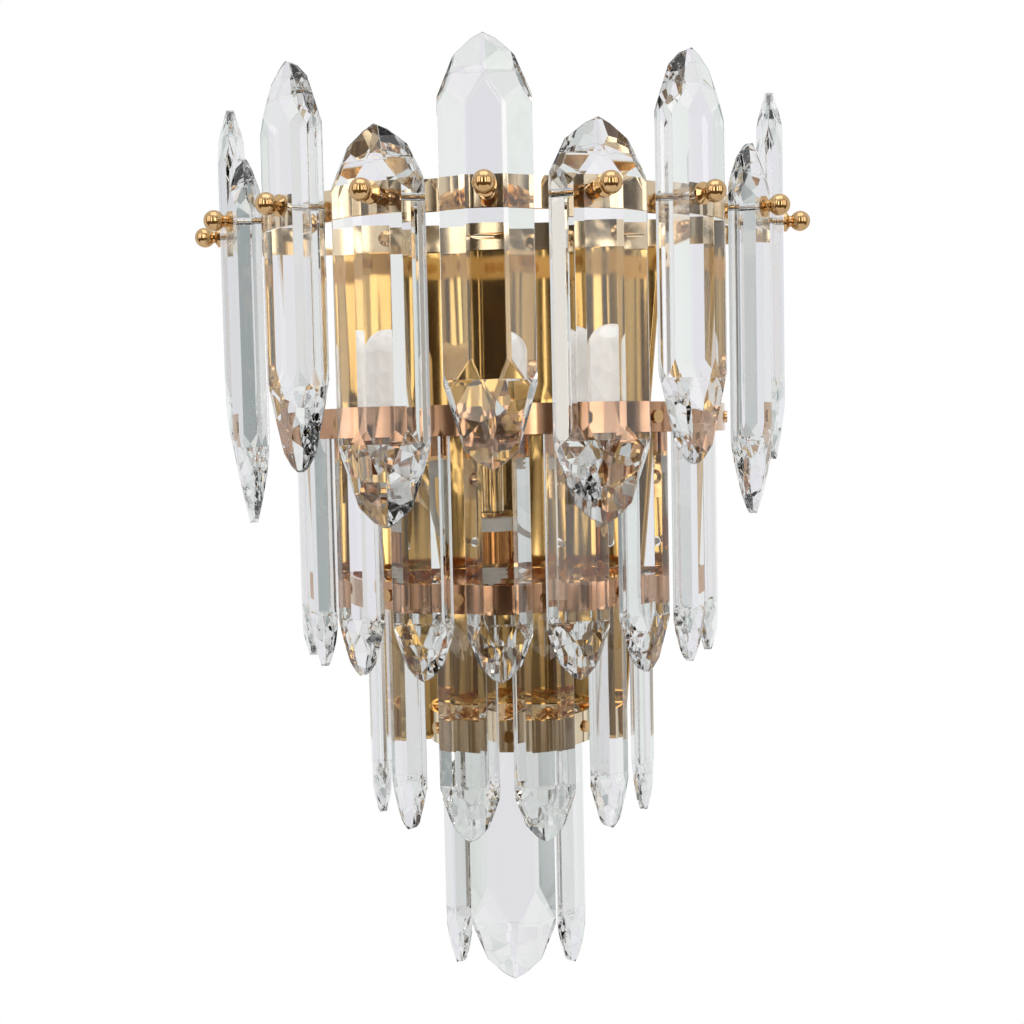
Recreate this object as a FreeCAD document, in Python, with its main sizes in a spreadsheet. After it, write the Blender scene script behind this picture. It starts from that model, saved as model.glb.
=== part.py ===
import FreeCAD, Part
import math
import os
import Sketcher

# Crystal wall sconce. A gold pan stands on the wall and carries four D-shaped rings, one below
# the other and each smaller than the last. Cut crystal bars hang round every ring, each on its own
# pin between the strip of the ring and a ball nut, and three lamps stand inside the rings.
# Frame: origin on the wall at the middle of the crossbar, -Y out of the wall, +X to the right, +Z up.

Vector = FreeCAD.Vector

doc = FreeCAD.newDocument("crystal_wall_sconce")
sheet = doc.addObject("Spreadsheet::Sheet", "Sizes")

# Every driving dimension, in millimetres or degrees: name, value, what it is.
SIZES = [
    ("pan_depth", 22, "how far the pan's front stands off the wall"),
    ("pan_wall", 1.2, "sheet of the pan"),
    ("pan_top", 72, "height of the pan's top edge above the crossbar"),
    ("pan_bottom", 184.5, "depth of the pan's bottom edge below the crossbar"),
    ("pan_top_half", 80, "half width of the pan at its top"),
    ("pan_bottom_half", 56, "half width of the pan at its bottom"),
    ("pan_corner", 2.5, "rounding of the pressed edges"),
    ("lead_hole", 2.4, "radius of the holes for the lamp leads"),
    ("band_thick", 2, "strip that the rings and brackets are bent from"),
    ("band_tall", 13, "height of the strip of the three upper rings"),
    ("low_band_tall", 15, "height of the strip of the lowest ring"),
    ("tier1_radius", 120.5, "outer radius of the top ring"),
    ("tier2_radius", 107, "outer radius of the second ring"),
    ("tier3_radius", 75.5, "outer radius of the third ring"),
    ("tier4_radius", 41.5, "outer radius of the lowest ring"),
    ("tier1_rise", 65, "height of the top ring's middle above the crossbar"),
    ("tier2_fall", 25.5, "depth of the second ring's middle below the crossbar"),
    ("tier3_fall", 104.5, "depth of the third ring's middle below the crossbar"),
    ("tier4_fall", 173.5, "depth of the lowest ring's middle below the crossbar"),
    ("tier1_count", 9, "crystals on the top ring"),
    ("tier2_count", 9, "crystals on the second ring"),
    ("tier3_count", 6, "crystals on the third ring"),
    ("tier4_count", 3, "crystals on the lowest ring"),
    ("tier1_angle", 20, "angle from one crystal to the next"),
    ("tier2_angle", 20, "angle from one crystal to the next"),
    ("tier3_angle", 30, "angle from one crystal to the next"),
    ("tier4_angle", 60, "angle from one crystal to the next"),
    ("tier1_screw", 55, "screws of the top ring, from the middle"),
    ("tier2_screw", 25, "screws of the second ring, from the middle"),
    ("tier3_screw", 32, "screws of the third ring, from the middle"),
    ("tier4_screw", 14, "screws of the lowest ring, from the middle"),
    ("pin_radius", 1.6, "crystal pin"),
    ("pin_fit", 0.05, "running clearance round a pin"),
    ("collar_radius", 3.4, "collar that keeps a crystal off its ring"),
    ("collar_thick", 2.4, "from the strip to the end of that collar"),
    ("rivet_radius", 2.8, "riveted end of a pin on the strip's other side"),
    ("rivet_thick", 1, "thickness of the riveted end"),
    ("strip_play", 0.2, "play of collar and riveted end at the curved strip"),
    ("crystal_gap", 0.3, "end play of a crystal on its pin, at each face"),
    ("nut_grip", 5, "length of pin inside a ball nut"),
    ("flange_radius", 4.6, "flange of a ball nut, against the crystal"),
    ("flange_thick", 1.3, "thickness of that flange"),
    ("neck_radius", 2.6, "neck between flange and ball"),
    ("ball_radius", 4.7, "ball of a ball nut"),
    ("ball_reach", 7.4, "from the flange's face to the ball's centre"),
    ("bar_half", 60, "half length of the crossbar"),
    ("bar_tall", 18, "height of the crossbar"),
    ("bar_thick", 2, "thickness of the crossbar"),
    ("slot_place", 39.75, "middle of a box screw slot, from the middle of the bar"),
    ("slot_half", 6.75, "half of a slot's overall length"),
    ("slot_radius", 2.25, "half of a slot's width"),
    ("stud_place", 52, "mounting studs, from the middle of the bar"),
    ("stud_radius", 2, "mounting studs"),
    ("stud_fit", 0.1, "clearance round studs and screws"),
    ("cap_radius", 5.5, "cap nut"),
    ("cap_tall", 6, "straight part of a cap nut"),
    ("nut_radius", 4.04, "corner radius of the hexagon nuts"),
    ("nut_thick", 3.2, "thickness of the hexagon nuts"),
    ("screw_radius", 2, "shank of the plate screws"),
    ("head_radius", 3.6, "head of the plate screws"),
    ("head_thick", 2.2, "thickness of the screw heads"),
    ("screw_spare", 0.8, "shank that shows past its nut"),
    ("bar_bore", 5, "hole in the middle of the crossbar"),
    ("ground_place", 24, "ground screw, from the middle of the bar"),
    ("ground_length", 8, "shank of the ground screw"),
    ("upper_lamp_side", 50, "upper lamps, from the middle"),
    ("upper_lamp_out", 60, "upper lamps, from the wall"),
    ("upper_lamp_fall", 20, "top of the upper sockets below the crossbar"),
    ("lower_lamp_side", 7.5, "lower lamp, to the left of the middle"),
    ("lower_lamp_out", 50, "lower lamp, from the wall"),
    ("lower_lamp_fall", 71, "top of the lower socket below the crossbar"),
    ("socket_radius", 10.8, "cap of a lamp socket"),
    ("socket_cap", 6, "height of that cap"),
    ("socket_body_radius", 9.4, "body of a lamp socket inside its cup"),
    ("socket_tall", 21, "overall height of a socket"),
    ("cup_wall", 0.9, "wall of the metal cup round a socket"),
    ("cup_fit", 0.1, "clearance between a cup and its socket"),
    ("pinch_wide", 12, "width of a lamp's flat foot"),
    ("pinch_deep", 6, "depth of a lamp's flat foot"),
    ("pinch_fit", 0.3, "clearance of the foot in the socket"),
    ("pinch_sunk", 8, "length of the foot inside the socket"),
    ("stem_radius", 4.8, "threaded stem under a socket"),
    ("stem_length", 8, "length of the stem below its bracket"),
    ("stem_nut_radius", 8.2, "ribbed nut under a bracket"),
    ("stem_nut_rib", 1.1, "height of each rib and each groove of that nut"),
    ("stem_nut_groove", 0.7, "depth of those grooves"),
    ("stem_bore", 3, "wire way through the stem"),
    ("bore_top", 14.5, "where the wire way ends below the socket's top"),
    ("upper_bulb_radius", 11.5, "frosted capsule of the upper lamps"),
    ("upper_bulb_tall", 38, "its height above the socket"),
    ("lower_bulb_radius", 6.8, "clear capsule of the lower lamp"),
    ("lower_bulb_tall", 34, "its height above the socket"),
    ("bulb_flat", 0.6, "half width of the flat left on top of a capsule"),
    ("bulb_shoulder", 2.4, "bevel at the foot of a capsule"),
    ("foot_root", 3, "length of the flat foot inside the capsule"),
    ("contact_radius", 1.2, "contact pins of a lamp"),
    ("contact_place", 4.5, "contact pins, from the middle of the foot"),
    ("contact_length", 3.5, "length of the contact pins"),
    ("bracket_wide", 16, "width of a lamp bracket"),
    ("bracket_flange", 23, "height of its flange on the pan"),
    ("bracket_screw", 13, "its screw, from the arm"),
    ("block_wide", 32, "terminal block"),
    ("block_deep", 12, "terminal block, out of the pan"),
    ("block_tall", 14, "terminal block"),
    ("block_fall", 62, "middle of the terminal block below the crossbar"),
    ("port_radius", 1.7, "wire ports of the terminal block"),
    ("lead_radius", 1.3, "sleeved lamp lead"),
    ("lead_drop", 35, "lead holes below the end of each stem"),
    ("lead_clear", 10, "leads inside the pan, from the wall"),
    ("lead_straight", 15, "first corner of a lead below the end of its stem"),
    ("lead_second", 29, "second corner of a lead below the end of its stem"),
    ("lead_back", 8, "how far nearer the wall the second corner is"),
    ("lead_before", 14, "last corner of a lead in front of the pan"),
    ("upper_lead_share", 0.6, "where an upper lead turns up, as a share of its way to the block"),
    ("upper_lead_sag", 2, "how far it sags there"),
    ("upper_lead_run", 11, "its straight run up to its port"),
    ("lower_lead_rise", 22, "how far the lower lead rises behind its hole"),
    ("lower_lead_run", 25, "its straight run up to its port"),
    ("lower_lead_lean", 1, "how far it leans aside over each of those"),
    ("port_grip", 3, "length of a lead inside its port"),
    ("lead_arc_share", 0.45, "how much of the shorter run at a lead's corner its arc takes"),
    ("kite_angle", 76, "direction of the long end facets, from the crystal's width"),
    ("crown_angle", 74, "direction of the steep end facets, from the crystal's width"),
]

# The six cuts of crystal. wide, deep and face give the section: a flat face in the middle of each
# side, bevels from it to the thin edge. rise and drop run from the pin to the two points, and the
# rest are heights measured back from a point: where the outline leaves the full width (shoulder)
# and turns in again (break), and where each set of facets begins. Each point itself is blunt.
CUTS = {
    "tall": dict(wide=37.5, deep=12, face=14, edge=3, rise=60, drop=111,
                 top_shoulder=22, top_break=11, top_kite=27, top_chin=14,
                 low_shoulder=31, low_break=12, low_kite=44, low_chin=24),
    "long": dict(wide=41, deep=12, face=16.4, edge=3, rise=28, drop=134,
                 top_shoulder=20, top_break=11, top_kite=24, top_chin=12,
                 low_shoulder=28, low_break=12, low_kite=40, low_chin=21),
    "middle": dict(wide=28, deep=9.5, face=13.5, edge=2.6, rise=6, drop=112,
                   top_shoulder=4, top_break=2.4, top_kite=6.5, top_chin=2.8,
                   low_shoulder=19, low_break=8.5, low_kite=27, low_chin=11.5),
    "slim": dict(wide=23, deep=9.5, face=9.2, edge=2.6, rise=6, drop=111,
                 top_shoulder=3.6, top_break=2.2, top_kite=6, top_chin=2.8,
                 low_shoulder=17, low_break=6, low_kite=26, low_chin=12),
    "narrow": dict(wide=23, deep=9.5, face=9.2, edge=2.6, rise=6, drop=118,
                   top_shoulder=3.6, top_break=2.2, top_kite=6, top_chin=2.8,
                   low_shoulder=17, low_break=6, low_kite=26, low_chin=12),
    "broad": dict(wide=40.5, deep=12, face=21, edge=3, rise=6, drop=120,
                  top_shoulder=5.5, top_break=4, top_kite=9, top_chin=4.2,
                  low_shoulder=24, low_break=12, low_kite=44, low_chin=21),
}

# Sizes that all six cuts share.
SIZES += [
    ("break_inset", 4, "how far in from the side the outline turns at the break"),
    ("blunt_half_share", 0.13, "half width of an outline's blunt point, as a share of the width"),
    ("blunt_fall_share", 0.06, "how far from the point that is, as a share of the width"),
    ("kite_tip", 3.3, "half thickness that the long facets leave at the point"),
    ("chin_tip", 2.4, "half thickness that the middle facet leaves at the point"),
    ("crown_tip", 1.7, "half thickness that the steep facets leave at the point"),
    ("star_angle", 45, "direction of the corner facets, from the crystal's width"),
    ("star_tip_share", 0.16, "what those leave at the point, as a share of the width"),
    ("star_reach", 1.25, "height at which they start, as a share of the shoulder's"),
    ("star_over", 1.05, "how far their lines are carried past the crystal, as a share"),
    ("facet_reach", 0.8, "where facet lines are carried to, as a share of the depth"),
]
for cut, sizes in CUTS.items():
    SIZES += [(f"{cut}_{name}", value, f"{name} of the {cut} crystal") for name, value in sizes.items()]

for row, (alias, value, note) in enumerate(SIZES, start=1):
    sheet.set(f"A{row}", alias)
    sheet.set(f"B{row}", str(value))
    sheet.set(f"C{row}", note)
    sheet.setAlias(f"B{row}", alias)
doc.recompute()


def size(alias):
    """The plain number in one cell, for counts that set how many pieces are made."""
    return float(sheet.get(alias))


def origin_part(body, role):
    return next(feature for feature in body.Origin.OriginFeatures if feature.Role == role)


def new_body(name):
    return doc.addObject("PartDesign::Body", name)


def new_sketch(body, name, role, offset=None):
    """A sketch on one of the body's own origin planes, moved or turned by an expression."""
    sketch = body.newObject("Sketcher::SketchObject", name)
    sketch.AttachmentSupport = [(origin_part(body, role), "")]
    sketch.MapMode = "FlatFace"
    if offset:
        sketch.setExpression("AttachmentOffset", offset)
    return sketch


def bind_point(sketch, geometry, end, x, y):
    """Hold one point of the sketch at x and y, both expressions."""
    for kind, text in (("DistanceX", x), ("DistanceY", y)):
        value = float(sketch.evalExpression(text))
        index = sketch.addConstraint(Sketcher.Constraint(kind, -1, 1, geometry, end, value))
        sketch.setExpression(f"Constraints[{index}]", text)


def polygon(sketch, corners):
    """A closed outline of straight lines, every corner bound to its two expressions."""
    first = sketch.GeometryCount
    points = [Vector(float(sketch.evalExpression(x)), float(sketch.evalExpression(y)), 0) for x, y in corners]
    following = points[1:] + points[:1]
    for start, end in zip(points, following):
        sketch.addGeometry(Part.LineSegment(start, end), False)
    for step, (x, y) in enumerate(corners):
        after = first + (step + 1) % len(corners)
        sketch.addConstraint(Sketcher.Constraint("Coincident", first + step, 2, after, 1))
        bind_point(sketch, first + step, 1, x, y)


def rectangle(sketch, half_wide, half_tall, x="0"):
    """A rectangle whose middle is on the sketch's first axis, at x."""
    left, right, bottom = f"{x} - {half_wide}", f"{x} + {half_wide}", f"-{half_tall}"
    polygon(sketch, [(left, bottom), (right, bottom), (right, half_tall), (left, half_tall)])


def circle(sketch, x, y, radius):
    value = float(sketch.evalExpression(radius))
    index = sketch.addGeometry(Part.Circle(Vector(0, 0, 0), Vector(0, 0, 1), value), False)
    bind_point(sketch, index, 3, x, y)
    limit = sketch.addConstraint(Sketcher.Constraint("Radius", index, value))
    sketch.setExpression(f"Constraints[{limit}]", radius)


def pad(body, sketch, length, other=None, reverse=False, both=False):
    feature = body.newObject("PartDesign::Pad", sketch.Name + "_pad")
    feature.Profile = sketch
    feature.setExpression("Length", length)
    feature.Reversed = reverse
    if both:
        feature.SideType = "Symmetric"
    if other:
        feature.SideType = "Two sides"
        feature.setExpression("Length2", other)
    return feature


def pocket(body, sketch, length=None, reverse=False, both=False):
    """Cut the sketch away, to a length or right through."""
    feature = body.newObject("PartDesign::Pocket", sketch.Name + "_pocket")
    feature.Profile = sketch
    feature.Reversed = reverse
    if both:
        feature.SideType = "Symmetric"
    if length:
        feature.setExpression("Length", length)
    else:
        feature.Type = "ThroughAll"
    return feature


def revolve(body, sketch, axis):
    feature = body.newObject("PartDesign::Revolution", sketch.Name + "_turned")
    feature.Profile = sketch
    feature.ReferenceAxis = (sketch, [axis])
    return feature


def fillet(body, base, wanted, radius):
    """Round the edges of the base feature that the test picks."""
    doc.recompute()
    edges = [f"Edge{i}" for i, edge in enumerate(base.Shape.Edges, start=1) if wanted(edge)]
    feature = body.newObject("PartDesign::Fillet", base.Name + "_round")
    feature.Base = (base, edges)
    feature.setExpression("Radius", radius)
    return feature


def at(x, y, z, turn="0", axis="0; 0; 1"):
    """A placement expression: a point, and a turn about an axis."""
    return f"placement(vector({x}; {y}; {z}); rotation(vector({axis}); {turn}))"


def copies(name, sources):
    """One node of separate solids: each source is an object and the placement of its copy."""
    links = []
    for number, (source, place) in enumerate(sources, start=1):
        link = doc.addObject("App::Link", f"{name}_{number}")
        link.LinkedObject = source
        link.setExpression("Placement", place)
        links.append(link)
    group = doc.addObject("Part::Compound", name)
    group.Links = links
    return group


nodes = {}

# ---- where the four rings are -----------------------------------------------------------------

# The top ring carries its crystals outside its strip, the other three carry them inside.
RING_OUT = "-(Sizes.pan_depth + Sizes.band_thick / 2)"
TIERS = {
    "tier1": dict(height="Sizes.tier1_rise", band="Sizes.band_tall", outside=True),
    "tier2": dict(height="-Sizes.tier2_fall", band="Sizes.band_tall", outside=False),
    "tier3": dict(height="-Sizes.tier3_fall", band="Sizes.band_tall", outside=False),
    "tier4": dict(height="-Sizes.tier4_fall", band="Sizes.low_band_tall", outside=False),
}


def turn_of(tier, index):
    """Angle of one crystal from straight ahead, positive to the right."""
    return f"({index} - (Sizes.{tier}_count - 1) / 2) * Sizes.{tier}_angle"


def off_strip(tier, index, distance):
    """Placement off the side of a ring's strip that its crystals hang on, facing away from it."""
    turn = turn_of(tier, index)
    if TIERS[tier]["outside"]:
        radius, facing = f"(Sizes.{tier}_radius + {distance})", turn
    else:
        radius, facing = f"(Sizes.{tier}_radius - Sizes.band_thick - ({distance}))", f"{turn} + 180"
    y = f"{RING_OUT} - {radius} * cos({turn})"
    return at(f"{radius} * sin({turn})", y, TIERS[tier]["height"], facing)


def cut_at(tier, index):
    """Which cut of crystal hangs at one place of a ring."""
    from_middle = abs(index - (size(f"{tier}_count") - 1) / 2)
    if tier == "tier1":
        return "tall" if from_middle % 2 == 0 else "long"
    if tier == "tier3":
        return "middle" if from_middle < 1 else "slim"
    if tier == "tier4":
        return "broad" if from_middle < 1 else "narrow"
    return "middle"


# ---- crystals ---------------------------------------------------------------------------------

def facet_lines(cut, end, tip, far, start, height):
    """Outer point of the line that runs from the tip back along one facet.

    The facet leaves the half thickness `tip` at the point and reaches `start` at `height` below it.
    The line is carried on to `far`, clear of the crystal.
    """
    sign, reach = ("", "rise") if end == "top" else ("-", "drop")
    away = f"({far} - {tip}) / ({start} - {tip}) * {height}"
    return (far, f"{sign}(Sizes.{cut}_{reach} - {away})")


def cut_ends(body, cut, name, turn, half):
    """Pocket away all that lies outside a closed outline, seen square to the turned width."""
    sketch = new_sketch(body, f"{cut}_{name}", "XZ_Plane", at("0", "0", "0", turn, "0; 1; 0"))
    wide, rise, drop = (f"Sizes.{cut}_{part}" for part in ("wide", "rise", "drop"))
    polygon(sketch, [(f"-{wide}", f"-({drop} + {wide})"), (wide, f"-({drop} + {wide})"),
                     (wide, f"{rise} + {wide}"), (f"-{wide}", f"{rise} + {wide}")])
    mirrored = [(f"-({x})", z) for x, z in reversed(half) if x != "0"]
    polygon(sketch, half + mirrored)
    pocket(body, sketch, both=True)


def make_cut(cut):
    """One cut crystal bar, upright, with its pin hole at the origin and its front towards -Y."""
    body = new_body(f"{cut}_cut")
    s = f"Sizes.{cut}_"
    plan = new_sketch(body, f"{cut}_plan", "XY_Plane")
    quarter = [(f"{s}face / 2", f"{s}deep / 2"), (f"{s}wide / 2", f"{s}edge / 2")]
    right = quarter + [(x, f"-{y}") for x, y in reversed(quarter)]
    polygon(plan, right + [(f"-{x}", y) for x, y in reversed(right)])
    pad(body, plan, f"{s}rise", other=f"{s}drop")

    # outline in front view: three slopes to a blunt point at each end
    outline = []
    for end, sign, reach in (("top", "", "rise"), ("low", "-", "drop")):
        inside = f"{s}wide / 2 - Sizes.break_inset"
        outside = f"{s}wide / 2 + Sizes.break_inset"
        back = f"2 * {s}{end}_shoulder - {s}{end}_break"
        blunt_at = f"{sign}({s}{reach} - Sizes.blunt_fall_share * {s}wide)"
        points = [("0", f"{sign}{s}{reach}"), (f"Sizes.blunt_half_share * {s}wide", blunt_at),
                  (inside, f"{sign}({s}{reach} - {s}{end}_break)"),
                  (outside, f"{sign}({s}{reach} - ({back}))")]
        outline += points if end == "top" else points[::-1]
    cut_ends(body, cut, "outline", "0", outline)

    # four sets of facets on the front and the back of each end
    far = f"{s}deep * Sizes.facet_reach"
    corner_at = f"({s}wide / 2 * cos(Sizes.star_angle) + {s}edge / 2 * sin(Sizes.star_angle))"
    corner_far = f"{corner_at} * Sizes.star_over"
    corner_tip = f"(Sizes.star_tip_share * {s}wide)"
    edge_at = f"({s}face / 2 * cos(Sizes.kite_angle) + {s}deep / 2 * sin(Sizes.kite_angle))"
    kite, chin, crown, star = [], [], [], []
    for end in ("top", "low"):
        slope = f"({edge_at} - Sizes.kite_tip) / {s}{end}_kite"
        ridge = f"(Sizes.kite_tip + {slope} * {s}{end}_chin) / sin(Sizes.kite_angle)"
        share = f"{s}{end}_break / {s}{end}_chin"
        crown_at = f"(Sizes.chin_tip + ({ridge} - Sizes.chin_tip) * {share}) * sin(Sizes.crown_angle)"
        for points, tip, outer, start, height in (
                (kite, "Sizes.kite_tip", far, edge_at, f"{s}{end}_kite"),
                (chin, "Sizes.chin_tip", far, ridge, f"{s}{end}_chin"),
                (crown, "Sizes.crown_tip", far, crown_at, f"{s}{end}_break"),
                (star, corner_tip, corner_far, corner_at, f"{s}{end}_shoulder * Sizes.star_reach")):
            point = f"{s}rise" if end == "top" else f"-{s}drop"
            pair = [(tip, point), facet_lines(cut, end, tip, outer, start, height)]
            points += pair if end == "top" else pair[::-1]
    cut_ends(body, cut, "chin", "90", chin)
    for side, sign in (("right", ""), ("left", "-")):
        cut_ends(body, cut, f"kite_{side}", f"{sign}Sizes.kite_angle", kite)
        cut_ends(body, cut, f"crown_{side}", f"{sign}Sizes.crown_angle", crown)
        cut_ends(body, cut, f"star_{side}", f"{sign}Sizes.star_angle", star)

    hole = new_sketch(body, f"{cut}_hole", "XZ_Plane")
    circle(hole, "0", "0", "Sizes.pin_radius + Sizes.pin_fit")
    pocket(body, hole, both=True)
    return body


cuts = {cut: make_cut(cut) for cut in CUTS}


def hang_crystals(tier):
    """A copy of the right cut at every place of the ring, clear of its collar by the end play."""
    for index in range(int(size(f"{tier}_count"))):
        cut = cut_at(tier, index)
        name = f"{tier}_crystal_{index + 1}"
        body = new_body(name)
        blank = body.newObject("PartDesign::FeatureBase", name + "_blank")
        blank.BaseFeature = cuts[cut]
        body.Tip = blank
        middle = f"Sizes.collar_thick + Sizes.crystal_gap + Sizes.{cut}_deep / 2"
        body.setExpression("Placement", off_strip(tier, index, middle))
        nodes[name] = body


for tier in TIERS:
    hang_crystals(tier)

# ---- rings ------------------------------------------------------------------------------------

def arc_below(sketch, radius, level):
    """Half circle about the origin on the -Y side, its ends at the level; returns its number."""
    value = float(sketch.evalExpression(radius))
    height = float(sketch.evalExpression(level))
    dip = math.asin(-height / value)
    full = Part.Circle(Vector(0, 0, 0), Vector(0, 0, 1), value)
    index = sketch.addGeometry(Part.ArcOfCircle(full, math.pi + dip, 2 * math.pi - dip), False)
    sketch.addConstraint(Sketcher.Constraint("Coincident", index, 3, -1, 1))
    limit = sketch.addConstraint(Sketcher.Constraint("Radius", index, value))
    sketch.setExpression(f"Constraints[{limit}]", radius)
    for end in (1, 2):
        hold = sketch.addConstraint(Sketcher.Constraint("DistanceY", -1, 1, index, end, height))
        sketch.setExpression(f"Constraints[{hold}]", level)
    return index


def make_ring(tier):
    """D-shaped strip: a half circle closed by a straight bar, with pin holes and screw holes."""
    body = new_body(f"{tier}_ring")
    radius = f"Sizes.{tier}_radius"
    strip = new_sketch(body, f"{tier}_strip", "XY_Plane")
    outer = arc_below(strip, radius, "0")
    back = "Sizes.band_thick / 2"
    reach = float(strip.evalExpression(radius))
    behind = float(strip.evalExpression(back))
    corners = [Vector(reach, 0, 0), Vector(reach, behind, 0), Vector(-reach, behind, 0), Vector(-reach, 0, 0)]
    lines = [strip.addGeometry(Part.LineSegment(a, b), False) for a, b in zip(corners, corners[1:])]
    for (one, one_end), (two, two_end) in (((outer, 2), (lines[0], 1)), ((lines[0], 2), (lines[1], 1)),
                                           ((lines[1], 2), (lines[2], 1)), ((lines[2], 2), (outer, 1))):
        strip.addConstraint(Sketcher.Constraint("Coincident", one, one_end, two, two_end))
    bind_point(strip, lines[1], 1, radius, back)
    bind_point(strip, lines[1], 2, f"-{radius}", back)
    inner = arc_below(strip, f"{radius} - Sizes.band_thick", "-Sizes.band_thick / 2")
    ends = [strip.getPoint(inner, end) for end in (2, 1)]
    front = strip.addGeometry(Part.LineSegment(*ends), False)
    strip.addConstraint(Sketcher.Constraint("Coincident", inner, 2, front, 1))
    strip.addConstraint(Sketcher.Constraint("Coincident", inner, 1, front, 2))
    pad(body, strip, TIERS[tier]["band"], both=True)

    first_turn = at("0", "0", "0", turn_of(tier, 0), "0; 1; 0")
    pin_hole = new_sketch(body, f"{tier}_pin_hole", "XZ_Plane", first_turn)
    circle(pin_hole, "0", "0", "Sizes.pin_radius + Sizes.pin_fit")
    first = pocket(body, pin_hole, reverse=True)
    doc.recompute()
    ring_of_holes = body.newObject("PartDesign::PolarPattern", f"{tier}_pin_holes")
    ring_of_holes.Originals = [first]
    ring_of_holes.Axis = (origin_part(body, "Z_Axis"), [""])
    ring_of_holes.setExpression("Angle", f"(Sizes.{tier}_count - 1) * Sizes.{tier}_angle")
    ring_of_holes.setExpression("Occurrences", f"Sizes.{tier}_count")
    body.Tip = ring_of_holes

    screws = new_sketch(body, f"{tier}_screw_holes", "XZ_Plane", at("0", "0", "Sizes.band_thick"))
    for sign in ("", "-"):
        circle(screws, f"{sign}Sizes.{tier}_screw", "0", "Sizes.screw_radius + Sizes.stud_fit")
    pocket(body, screws)
    body.setExpression("Placement", at("0", RING_OUT, TIERS[tier]["height"]))
    nodes[f"{tier}_ring"] = body


for tier in TIERS:
    make_ring(tier)

# ---- crystal pins and ball nuts ---------------------------------------------------------------

def make_pin(cut):
    """Riveted pin for one depth of crystal, pointing to -Y from the strip's face at the origin."""
    body = new_body(f"{cut}_pin")
    sketch = new_sketch(body, f"{cut}_pin_profile", "XY_Plane")
    back = "Sizes.band_thick + Sizes.strip_play"
    tail = f"{back} + Sizes.rivet_thick"
    collar = "-Sizes.collar_thick"
    tip = f"-(Sizes.collar_thick + 2 * Sizes.crystal_gap + Sizes.{cut}_deep + Sizes.nut_grip)"
    polygon(sketch, [("0", tail), ("Sizes.rivet_radius", tail), ("Sizes.rivet_radius", back),
                     ("Sizes.pin_radius", back), ("Sizes.pin_radius", "-Sizes.strip_play"),
                     ("Sizes.collar_radius", "-Sizes.strip_play"), ("Sizes.collar_radius", collar),
                     ("Sizes.pin_radius", collar),
                     ("Sizes.pin_radius", tip), ("0", tip)])
    revolve(body, sketch, "V_Axis")
    return body


def make_ball_nut():
    """Ball nut pointing to -Y, with its flange's face at the origin and a blind bore for the pin."""
    body = new_body("ball_nut")
    sketch = new_sketch(body, "ball_nut_neck", "XY_Plane")
    polygon(sketch, [("0", "0"), ("Sizes.flange_radius", "0"),
                     ("Sizes.flange_radius", "-Sizes.flange_thick"),
                     ("Sizes.neck_radius", "-2 * Sizes.flange_thick"),
                     ("Sizes.neck_radius", "-Sizes.ball_reach"), ("0", "-Sizes.ball_reach")])
    revolve(body, sketch, "V_Axis")
    ball = body.newObject("PartDesign::AdditiveSphere", "ball_nut_ball")
    ball.setExpression("Radius", "Sizes.ball_radius")
    ball.AttachmentSupport = [(origin_part(body, "XY_Plane"), "")]
    ball.MapMode = "FlatFace"
    ball.setExpression("AttachmentOffset", at("0", "-Sizes.ball_reach", "0"))
    bore = new_sketch(body, "ball_nut_bore", "XZ_Plane")
    circle(bore, "0", "0", "Sizes.pin_radius + Sizes.pin_fit")
    pocket(body, bore, length="Sizes.nut_grip + Sizes.crystal_gap", reverse=True)
    return body


pins = {cut: make_pin(cut) for cut in CUTS}
ball_nut = make_ball_nut()
for tier in TIERS:
    pin_copies, nut_copies = [], []
    for index in range(int(size(f"{tier}_count"))):
        cut = cut_at(tier, index)
        past_crystal = f"Sizes.collar_thick + 2 * Sizes.crystal_gap + Sizes.{cut}_deep"
        pin_copies.append((pins[cut], off_strip(tier, index, "0")))
        nut_copies.append((ball_nut, off_strip(tier, index, past_crystal)))
    nodes[f"{tier}_pins"] = copies(f"{tier}_pins", pin_copies)
    nodes[f"{tier}_ball_nuts"] = copies(f"{tier}_ball_nuts", nut_copies)

# ---- lamps: where they are, and the screws that hold everything to the pan ----------------------

LAMPS = {
    "upper_left": dict(x="-Sizes.upper_lamp_side", out="Sizes.upper_lamp_out", fall="Sizes.upper_lamp_fall",
                       bulb="upper", flange="down", port=-1),
    "upper_right": dict(x="Sizes.upper_lamp_side", out="Sizes.upper_lamp_out", fall="Sizes.upper_lamp_fall",
                        bulb="upper", flange="down", port=1),
    "lower": dict(x="-Sizes.lower_lamp_side", out="Sizes.lower_lamp_out", fall="Sizes.lower_lamp_fall",
                  bulb="lower", flange="up", port=0),
}


def bracket_corner(lamp):
    """Height of the bracket's outside corner: the arm's top if its flange hangs, else its underside."""
    under = f"-({LAMPS[lamp]['fall']} + Sizes.socket_tall"
    return f"{under})" if LAMPS[lamp]["flange"] == "down" else f"{under} + Sizes.band_thick)"


def lead_height(lamp):
    """Height at which a lamp's lead goes through the pan."""
    stem_end = f"{LAMPS[lamp]['fall']} + Sizes.socket_tall + Sizes.band_thick + Sizes.stem_length"
    return f"-({stem_end} + Sizes.lead_drop)"


screw_places = []
for tier in TIERS:
    for sign in ("", "-"):
        screw_places.append((f"{sign}Sizes.{tier}_screw", TIERS[tier]["height"]))
for lamp, place in LAMPS.items():
    sign = "-" if place["flange"] == "down" else "+"
    screw_places.append((place["x"], f"{bracket_corner(lamp)} {sign} Sizes.bracket_screw"))
STUD_PLACES = [("-Sizes.stud_place", "0"), ("Sizes.stud_place", "0")]

# ---- pan --------------------------------------------------------------------------------------

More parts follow.
